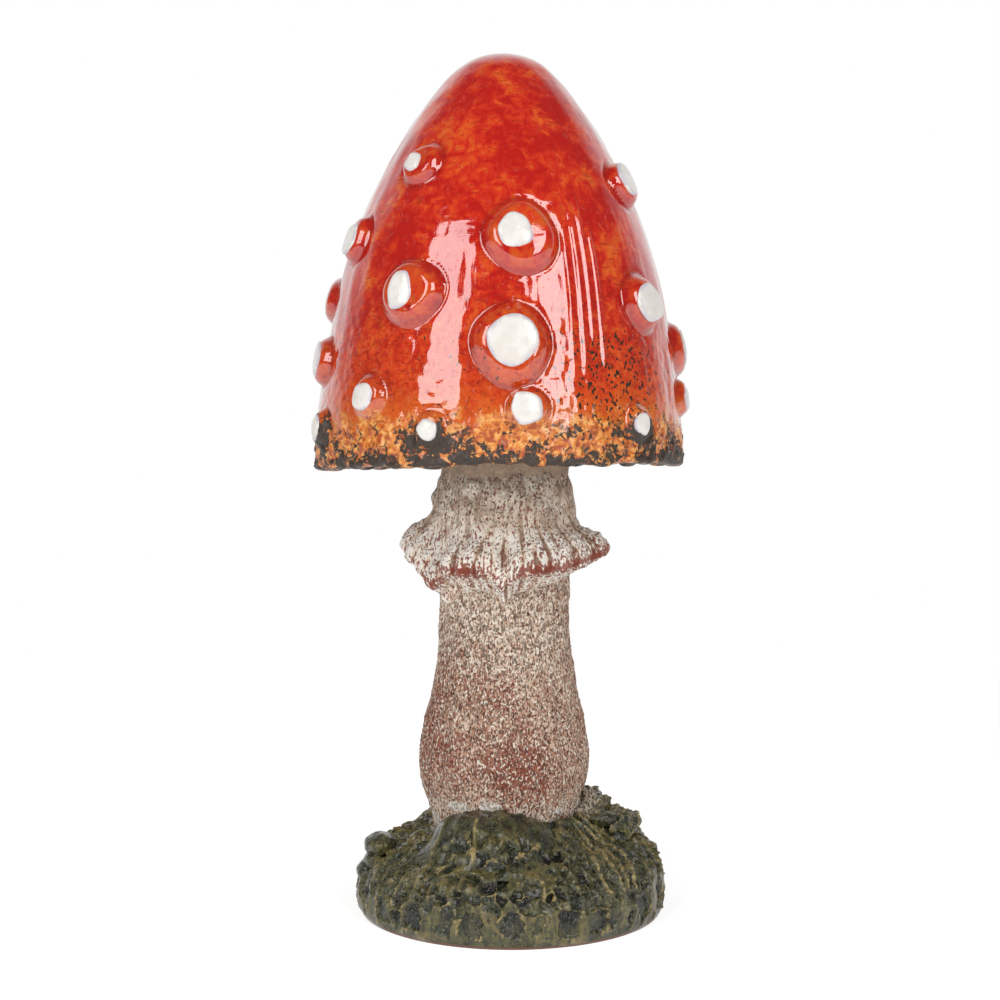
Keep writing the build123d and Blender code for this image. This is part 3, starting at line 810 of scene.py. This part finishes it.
def make_skirt(finish):
    """The skirt: a B-spline section carried round the stem along the ragged hem, with pleats down its slope.

    The section is fixed to the stem at its ends and follows the hem between them. It droops at the right.
    """
    azimuth = full_turn(SKIRT_COLUMNS)
    hem_at, hem_radius, hem_height = np.array(SKIRT_HEM).T
    degrees = np.degrees(azimuth)
    kernel = np.hanning(11) / np.hanning(11).sum()

    def round_hem(values):
        ragged = np.interp(degrees, hem_at, values, period=360)
        return np.convolve(np.concatenate([ragged[-5:], ragged, ragged[:5]]), kernel, "valid")

    r, z = round_hem(hem_radius), round_hem(hem_height)
    same = np.ones(SKIRT_COLUMNS)
    droop = DROOP * bell(degrees - DROOP_AT, DROOP_WIDE)
    section = [
        (14.6 * same, z - 6.2), (15.6 * same, z - 6.0), (17.4 * same, z - 4.6), (r - 4.2, z - 3.2),
        (r - 1.6, z - 2.2), (r + 0.5, z - 1.0), (r + 1.0 - 0.3 * droop, z + 1.6 - 0.4 * droop),
        (r - 0.6 - 0.2 * droop, z + 4.6 - 0.8 * droop), (r - 3.6, z + 6.8 - 1.1 * droop),
        (17.6 * same, 97.6 - 1.1 * droop), (17.2 * same, 101.5 * same), (16.4 * same, 106.0 * same),
        (15.4 * same, 109.0 * same), (14.6 * same, 109.4 * same),
    ]
    shares = spline_basis(len(section), SKIRT_ROWS)
    radius = shares @ np.array([point[0] for point in section])
    height = shares @ np.array([point[1] for point in section])
    points = turned(radius, height, azimuth)
    drawn = turned(20.0, 0.12 * height, azimuth)
    pleat = 0.45 * waves(drawn, 3.6, 41) + 0.7 * waves(drawn, 1.6, 42) + 0.5 * waves(drawn, 0.9, 46)
    closeness = bell(height - z - 0.4, 3.2) * ease(radius, 17.5, 21.0)
    slope = ease(height, 104.0, 94.0) * ease(radius, 15.2, 17.5)
    neck = ease(height, 92.0, 98.0) * ease(height, 109.0, 106.0)
    relief = (0.14 + 0.2 * closeness) * pleat * slope + 0.1 * waves(points, 2.4, 43) * slope
    relief = relief + neck * (0.28 * waves(points, 6.5, 44) - 0.35 * ease(waves(points, 2.6, 45), 0.9, 1.8))
    points = points + relief[..., None] * normals_of(points)
    points[..., 0] += STEM_X
    hem = bell(height - z + 0.3, 1.8) * ease(radius, 17.5, 20.5)
    hem = hem * (0.25 + 0.75 * patches(azimuth, height, SKIRT_RUST))
    fall = ease(height, 100.0, 88.0) * ease(radius, 15.5, 18.0)
    fields = {"hem": hem, "pleat": 0.5 + 0.22 * pleat, "fall": fall}
    return surface("skirt_collar", points, finish, "stem_slip", "skirt", closed_rows=True, **fields)


def scatter(points, spacing, seed, taken=()):
    """Numbers of points picked at random, each its spacing away from the others and from those taken."""
    rng = np.random.default_rng(seed)
    kept = list(taken)
    for number in rng.permutation(len(points))[:MARK_TRIES]:
        if not kept or ((points[kept] - points[number]) ** 2).sum(1).min() > spacing[number] ** 2:
            kept.append(number)
    return kept[len(taken) :]


def main_marks(travel, columns):
    """Large tool marks, in rows that sway round the mound: point, half sizes, depth, tilt, two slants."""
    marks = []
    for row, (up, count, width, length, depth) in enumerate(MARK_ROWS):
        level = np.abs(travel - up).argmin()
        for step in range(count):
            stray = 2.4 * (step + 7 * row)
            turn = 360 * (step + row / 2) / count + MARK_SWAY * math.sin(stray)
            column = round((turn + 180) % 360 * columns / 360) % columns
            tilt, slant = MARK_LEAN * math.cos(1.7 * stray), 0.2 * math.sin(3 * stray)
            point = level * columns + column
            marks.append((point, width / 2, length / 2, 0.8 * depth, tilt, slant, 0.3))
    return marks


def free_marks(chosen, across, along, depth, seed):
    """Marks at the chosen points, each a little off in size, depth, tilt and slant."""
    rng = np.random.default_rng(seed)
    marks = []
    for number in chosen:
        wide, tall, deep = np.array([across[number], along[number], depth[number]]) * rng.uniform(0.6, 1.4, 3)
        tilt = rng.normal(0, 0.7 / (1 + tall))
        marks.append((number, wide, tall, deep, tilt, 0.8 * rng.uniform(-1, 1), rng.uniform(-0.2, 1.0)))
    return marks


def press(points, normals, marks, seed, sharp=4, kept=0.0):
    """Marks of a blunt tool: each presses an oblong pad with a slanting floor and pushes up a lip round it.

    A point's offset from a mark takes its two distances over the half sizes to the power sharp, adds them,
    and takes that root of the sum. The point goes to the mark with the least offset. It is pad where that is
    under 1, but for a thin wall where the next mark's offset is nearly the same. Walls and lips broke down
    here and there, but no further than to the share kept.
    Gives how far the clay moves along its normal, how much of it is pad, and how much is wall or lip.
    """
    flat, out = points.reshape(-1, 3), normals.reshape(-1, 3)
    ragged = 0.09 * waves(flat, 3.2, seed) + 0.04 * waves(flat, 1.3, seed + 1)
    firm = ease(waves(flat, 5.0, seed + 2) + 0.5 * waves(flat, 2.0, seed + 3), -0.5, 0.8)
    firm = np.maximum(firm, np.ravel(kept))
    least, second, floor = np.full(len(flat), 3.0), np.full(len(flat), 3.0), np.zeros(len(flat))
    for number, wide, tall, deep, tilt, sideways, upwards in marks:
        local = flat - flat[number]
        near = np.flatnonzero((np.abs(local) < 1.9 * max(wide, tall)).all(1))
        local = local[near]
        level = np.cross([0.0, 0.0, 1.0], out[number])
        level /= max(np.linalg.norm(level), 1e-6)
        upward = np.cross(out[number], level)
        side = local @ (level * math.cos(tilt) + upward * math.sin(tilt))
        rise = local @ (upward * math.cos(tilt) - level * math.sin(tilt))
        offset = (np.abs(side / wide) ** sharp + np.abs(rise / tall) ** sharp) ** (1 / sharp) + ragged[near]
        closer = offset < least[near]
        second[near] = np.minimum(second[near], np.where(closer, least[near], offset))
        least[near] = np.minimum(least[near], offset)
        slanted = deep * (1 + sideways * side / wide + upwards * rise / tall)
        floor[near] = np.where(closer, slanted, floor[near])
    between = ease(second - least, 0.26, 0.08) * ease(second, 1.3, 1.05) * firm
    pad = ease(least, 1.08, 0.9) * (1 - between)
    ridge = np.maximum(between * ease(least, 1.15, 0.95), firm * bell(least - 1.1, 0.12))
    moved = 0.3 * ridge - pad * np.clip(floor, 0.05, None)
    return [values.reshape(points.shape[:2]) for values in (moved, pad, ridge)]


def slump(x, radius):
    """How far the mound's slope sinks towards the left."""
    return 2.2 * ease(-x, 4, 28) * ease(radius, 21, 27)


def mound_body(side, azimuth):
    """The mound before the tool, as a closed ring: up its side, down the stem's pocket, back under the foot.

    Its slope rolls a little and sinks towards the left, and its lip dips beside the stem at the far left.
    """
    pocket = evenly(np.array([BASE_SIDE[-1], POCKET_FLOOR]), POCKET_ROWS)[1:]
    outline = np.vstack([side, pocket, BASE_UNDER])
    points = turned(outline[:, :1], outline[:, 1:], azimuth)
    outer, radius = points[: len(side)], side[:, :1]
    dip = 1.3 * ease(radius, 23.5, 20) + 2.2 * ease(radius, 29.5, 21.5)
    sag = slump(outer[..., 0], radius) + dip * ease(-np.sin(azimuth), 0.82, 0.97)
    rolling = 0.5 * waves(outer, 16.0, 51) * ease(radius, 21, 27)
    outer[..., 2] += ease(side[:, 1:], 6, 14) * (rolling - sag)
    return points


def mound_marks(outer, normal, travel, wall, right):
    """Tool marks over the mound's outside: large ones in rows, and smaller ones wherever there is room.

    The smaller ones are tall on the wall, about as wide as tall on the slope, and narrower at the right.
    """
    slope = 1 - wall
    large = main_marks(travel, MOUND_COLUMNS)
    squat = outer * np.stack([np.ones_like(wall), np.ones_like(wall), 1 - 0.72 * wall], -1)
    spacing = (4.9 * wall + 3.7 * slope) * (1 - 0.36 * right)
    chosen = scatter(squat.reshape(-1, 3), spacing.ravel(), 52, [mark[0] for mark in large])
    across = (1.6 * wall + 1.5 * slope) * (1 - 0.4 * right)
    along, depth = 3.0 * wall + 1.5 * slope, 0.8 + 0.3 * slope
    small = free_marks(chosen, across.ravel(), along.ravel(), depth.ravel(), 58)
    return press(outer, normal, large + small, 53, sharp=6, kept=0.2 * wall)


def drape(azimuth, travel):
    """Thin broken lines down the slope, 0 to 1: a bell of the sine of a wavering azimuth."""
    drawn = np.stack(np.broadcast_arrays(DRAPE_RADIUS * azimuth, 0.25 * travel, 0 * azimuth), -1)
    comb = DRAPE_LINES / 2 * azimuth + 1.1 * waves(drawn, 7.0, 59)
    return bell(np.sin(comb), 0.36) * ease(waves(drawn, 3.5, 61), -1.2, 0.0)


def make_mound(finish):
    """The mound, pressed all over with a tool but for its sides, where lines drape down between pits.

    The clay moves along its normal by the sum of marks, lines, pits and waves, and stays put at the table.
    The marks fade out round the flap.
    """
    side = curve(BASE_SIDE, MOUND_ROWS)
    travel = travelled(side)[:, None]
    azimuth = full_turn(MOUND_COLUMNS)[None, :]
    points = mound_body(side, azimuth)
    outer, normal = points[: len(side)], normals_of(points)[: len(side)]
    x, z = outer[..., 0], np.broadcast_to(side[:, 1:], outer.shape[:2])
    wall, right = 1 - ease(z, 9.0, 11.5), ease(x, 4, 16) * ease(z, 9, 12)
    sides = (0.8 * ease(-x, 12, 21) + ease(x, 8, 18)) * (1 - wall)
    aside, above = (azimuth - FLAP_AZIMUTH) * FLAP_RADIUS, travel - FLAP_UP
    beside = bell(aside, FLAP_CLEAR[0]) * bell(above, FLAP_CLEAR[1])
    moved, covered, lip = mound_marks(outer, normal, travel, wall, right)
    for fade in (1 - beside, 1 - 0.65 * sides):
        moved, lip = moved * fade, lip * fade
    dragged = drape(azimuth, travel) * sides
    pits = ease(waves(outer, 2.1, 60), 0.8, 1.7) * sides * (1 - dragged)
    relief = moved + 0.25 * waves(outer, 9.0, 54) + 0.08 * waves(outer, 3.6, 57) * (1 - 0.6 * wall)
    relief = relief + 0.85 * dragged - 0.9 * pits + 0.025 * waves(outer, 1.1, 56)
    covered = np.maximum(np.maximum(covered, 0.75 * ease(z, 3.2, 1.0)), 0.8 * sides) * (1 - 0.8 * dragged)
    lip = np.maximum(lip * (1 - 0.3 * wall), 0.8 * dragged**2)
    outer += (ease(z, 0.0, 1.4) * relief)[..., None] * normal
    points[..., 0] += BASE_X
    hidden = ((0, len(points) - len(side)), (0, 0))
    # raised also drives the moss glaze's near-black painted shade in the deepest marks
    fields = {"pressed": covered, "raised": 0.5 + 0.45 * relief, "lip": lip}
    fields = {name: np.pad(values, hidden) for name, values in fields.items()}
    return surface("moss_mound", points, finish, "moss_glaze", "moss_base", closed_rows=True, **fields)


def flap_leaf(share, over):
    """The bare flap: a rounded oblong laid on the slope and up against the stem, longer downhill.

    Its thickness falls as (1 - t^2) to a power, from its middle out, and the power is larger down the slope.
    Gives points and normals, their places across the flap and up it, and the slope's radius there.
    """
    side = curve(BASE_SIDE, 200)
    end = side[-1] - side[-2]
    side = np.vstack([side, side[-1] + end / np.linalg.norm(end) * FLAP_LEAN])
    travel = travelled(side)
    slope = np.gradient(side, travel, axis=0)
    angle = np.linspace(0, 2 * math.pi, FLAP_COLUMNS, endpoint=False)[None, :]
    level, steep = (np.sign(part) * np.abs(part) ** 0.7 for part in (np.cos(angle), np.sin(angle)))
    rim = 1 + 0.05 * waves(np.stack([np.cos(angle), np.sin(angle), 0 * angle], -1), 1.2, 97)
    across = FLAP_HALF[0] * share * level * rim
    up = np.where(steep > 0, 1.0, 1.5) * FLAP_HALF[1] * share * steep * rim
    distance = np.clip(FLAP_UP + up, 0, travel[-1])
    radius, height, run, rise = (np.interp(distance, travel, line) for line in (*side.T, *slope.T))
    thick = FLAP_THICK * (1 - share**2) ** (1.0 - 0.45 * np.sin(angle)) - FLAP_EDGE_SINK
    thick = np.where(over > 0, thick, -FLAP_UNDER_SINK)
    turn = FLAP_AZIMUTH + across / FLAP_RADIUS
    points = turned(radius + thick * rise, height - thick * run, turn)
    return points, turned(rise, -run, turn), across, up, radius


def make_flap(finish):
    """The front flap: tool marks low down, thin ridges that run down it and a seam that crosses it.

    Each ridge and the seam is a bell of the distance from its line. The upper edge and the left are smooth.
    """
    below, above = np.linspace(0.04, 0.97, FLAP_UNDER_ROWS), np.linspace(1, 0.02, FLAP_ROWS)
    share = np.concatenate([below, above])[:, None]
    over = np.concatenate([np.zeros(FLAP_UNDER_ROWS), np.ones(FLAP_ROWS)])[:, None]
    points, normal, across, up, radius = flap_leaf(share, over)
    bumps = 0.22 * waves(points, 6.0, 92) + 0.04 * waves(points, 1.8, 93)
    size = np.full(bumps.size, 2.3)
    shown = np.flatnonzero((over * (up < -3.0) * (across > -6.5)).ravel() > 0)
    chosen = shown[scatter(points.reshape(-1, 3)[shown], 1.9 * size, 62)]
    marks = free_marks(chosen, 1.0 * size, 1.3 * size, 0.35 * size, 72)
    moved, covered, lip = press(points, normal, marks, 73)
    ridge = sum(tall * bell(across - at + 0.12 * up, 0.5) for at, tall in FLAP_RIDGES)
    ridge = ridge * ease(up, 3.0, 0.5) * ease(share, 0.95, 0.7)
    seam = bell(up - 3.4 + 0.1 * across, 0.45) * ease(across, 3.0, -1.0)
    smooth = np.maximum(ease(up + 0.08 * across, -4.0, -2.0), ease(across, -5.5, -7.5))
    crest = np.clip(ridge, 0, 1)
    relief = bumps + moved * (1 - crest) * (1 - smooth) + 0.7 * ridge - 0.7 * seam
    points = points + (over * relief)[..., None] * normal
    points[..., 2] -= 1.2 * slump(points[..., 0], radius)
    points[..., 0] += BASE_X
    fields = {"pressed": np.maximum(covered, 0.5 + 0.4 * smooth) * (1 - 0.9 * crest)}
    # smooth parts read lower in raised, which gives them part of the moss glaze's near-black painted shade
    fields |= {"raised": 0.42 + 0.45 * relief - 0.22 * smooth, "fired": np.clip(1.4 * seam, 0, 1)}
    fields |= {"lip": np.maximum(lip * (1 - smooth), crest**2)}
    return surface("front_flap", points, finish, "moss_glaze", "moss_flap_front", poles=True, **fields)


def make_clumps(finish):
    """The sprigs of clay: ellipsoids stuck together, rough or smooth, each with a fold, sunk in the mound."""
    azimuth = full_turn(CLUMP_COLUMNS)[None, :]
    rise = np.linspace(-1.5, 1.55, CLUMP_ROWS)[:, None]
    unit = turned(np.cos(rise), np.sin(rise), azimuth)
    for node, lumps in CLUMPS.items():
        for number, (centre, half, mark, dusty) in enumerate(lumps, 1):
            seed = 10 * number + len(node)
            points = unit * half + centre
            normal = normals_of(points)
            rough = 1.0 if mark else 0.3
            relief = 0.3 * rough * waves(points, 5.0, seed, (1, 1, 0.6))
            relief = relief + 0.14 * rough * waves(points, 1.8, seed + 1)
            fold = (points[..., 2] - centre[2]) / half[2] + 0.15 * waves(points, 9.0, seed + 2)
            relief = relief - 0.1 * rough * half[2] * bell(fold - 0.42, 0.1)
            size = np.full(relief.size, mark)
            chosen = scatter(points.reshape(-1, 3), 1.9 * size, seed + 3) if mark else []
            marks = free_marks(chosen, 1.15 * size, 1.0 * size, 0.35 * size, seed + 4)
            moved, covered, lip = press(points, normal, marks, seed + 5)
            relief = relief + moved + 0.14 * rough * (np.abs(waves(points, 2.4, seed + 6)) - 0.8)
            points = points + relief[..., None] * normal
            dust = dusty * ease(normal[..., 2] - 0.4 * normal[..., 0], 0.1, 0.8)
            # smooth lumps read low in raised, so the moss glaze gives them part of its near-black painted
            # shade
            fields = {"pressed": np.maximum(covered, 1 - rough), "raised": 0.12 + 0.3 * rough + 0.45 * relief}
            fields |= {"lip": lip, "dust": dust}
            surface(f"{node}_{number}", points, finish, "moss_glaze", node, poles=True, **fields)


def softbox(name, azimuth, elevation, width, power):
    """A soft rectangular lamp that faces the middle of the ornament."""
    lamp = bpy.data.lights.new(name, "AREA")
    lamp.shape, lamp.size, lamp.size_y, lamp.energy = "RECTANGLE", width, LAMP_HEIGHT, power
    turn, tilt = math.radians(azimuth), math.radians(elevation)
    level, rise = LAMP_DISTANCE * math.cos(tilt), LAMP_DISTANCE * math.sin(tilt)
    holder = put_in_scene(name, lamp)
    holder.location = (level * math.sin(turn), -level * math.cos(turn), LAMP_AIM + rise)
    holder.rotation_euler = (math.pi / 2 - tilt, 0, turn)


def make_world():
    """A white room: plain light all round, darker in front where mirror-like glaze would see the camera."""
    world = bpy.data.worlds.new("studio")
    bpy.context.scene.world = world
    world.use_nodes = True
    recipe = Recipe(world.node_tree)
    background = world.node_tree.nodes["Background"]
    path = recipe.node("LightPath").outputs
    direction = recipe.node("TexCoord").outputs["Generated"]
    toward = Mask(recipe, recipe.node("SeparateXYZ", {0: direction}).outputs["Y"])
    mirrored = toward.span(0.25, 0.85, MIRRORED_FRONT, MIRRORED_BACK)
    light = (mirrored - ROOM_LIGHT) * path["Is Glossy Ray"] + ROOM_LIGHT
    unseen = recipe.math("SUBTRACT", 1.0, path["Is Camera Ray"])
    recipe.fill(background.inputs["Strength"], light * unseen + path["Is Camera Ray"])
    background.inputs["Color"].default_value = (1, 1, 1, 1)


def make_floor():
    """A pale floor that fades to white away from the ornament and keeps its shadow."""
    mesh = bpy.data.meshes.new("floor")
    corners = [(-1, -1), (1, -1), (1, 1), (-1, 1)]
    mesh.from_pydata([(FLOOR_REACH * x, FLOOR_REACH * y, 0) for x, y in corners], [], [(0, 1, 2, 3)])
    made, recipe = material("pale_floor")
    tree = made.node_tree
    tree.nodes.remove(tree.nodes["Principled BSDF"])

    def glow(strength):
        return recipe.node("Emission", {"Color": (1, 1, 1, 1), "Strength": strength}).outputs[0]

    def lit(shade, strength):
        matt = recipe.node("BsdfDiffuse", {"Color": (shade, shade, shade, 1)}).outputs[0]
        return recipe.node("AddShader", {0: matt, 1: glow(strength)}).outputs[0]

    away = recipe.node("VectorMath", {0: recipe.place()}, operation="LENGTH").outputs["Value"]
    fade = Mask(recipe, away).span(FADE_START, FADE_END)
    faded = recipe.node("MixShader", {0: fade, 1: lit(*FLOOR_SEEN), 2: glow(1.0)}).outputs[0]
    seen = recipe.node("LightPath").outputs["Is Camera Ray"]
    shown = recipe.node("MixShader", {0: seen, 1: lit(*FLOOR_FELT), 2: faded}).outputs[0]
    tree.links.new(shown, tree.nodes["Material Output"].inputs["Surface"])
    mesh.materials.append(made)
    floor = put_in_scene("floor", mesh)


def make_camera():
    """The photograph's view: from the front, slightly down."""
    camera = bpy.data.cameras.new("camera")
    camera.lens, camera.sensor_width = CAMERA_LENS, SENSOR
    holder = put_in_scene("camera", camera)
    holder.location = (CAMERA_X * MM, -CAMERA_DISTANCE * MM, CAMERA_HEIGHT * MM)
    holder.rotation_euler = (math.pi / 2 - CAMERA_PITCH, 0, 0)
    bpy.context.scene.camera = holder


specks = fleck_effect()
make_cap(cap_finish(specks))
make_spots(enamel_finish())
make_stem(slip_finish(specks))
make_skirt(skirt_finish(specks))
moss = moss_finish(specks)
make_mound(moss)
make_flap(moss)
make_clumps(moss)
mortar = mortar_finish()
for bed in ("crown_bed", "foot_bed"):
    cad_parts[bed].material_slots[0].material = mortar

softbox("left_softbox", azimuth=-38, elevation=26, width=0.64, power=6.0)
softbox("right_softbox", azimuth=33, elevation=26, width=0.5, power=5.7)
make_world()
make_floor()
make_camera()
bpy.context.scene.view_settings.view_transform = "Standard"
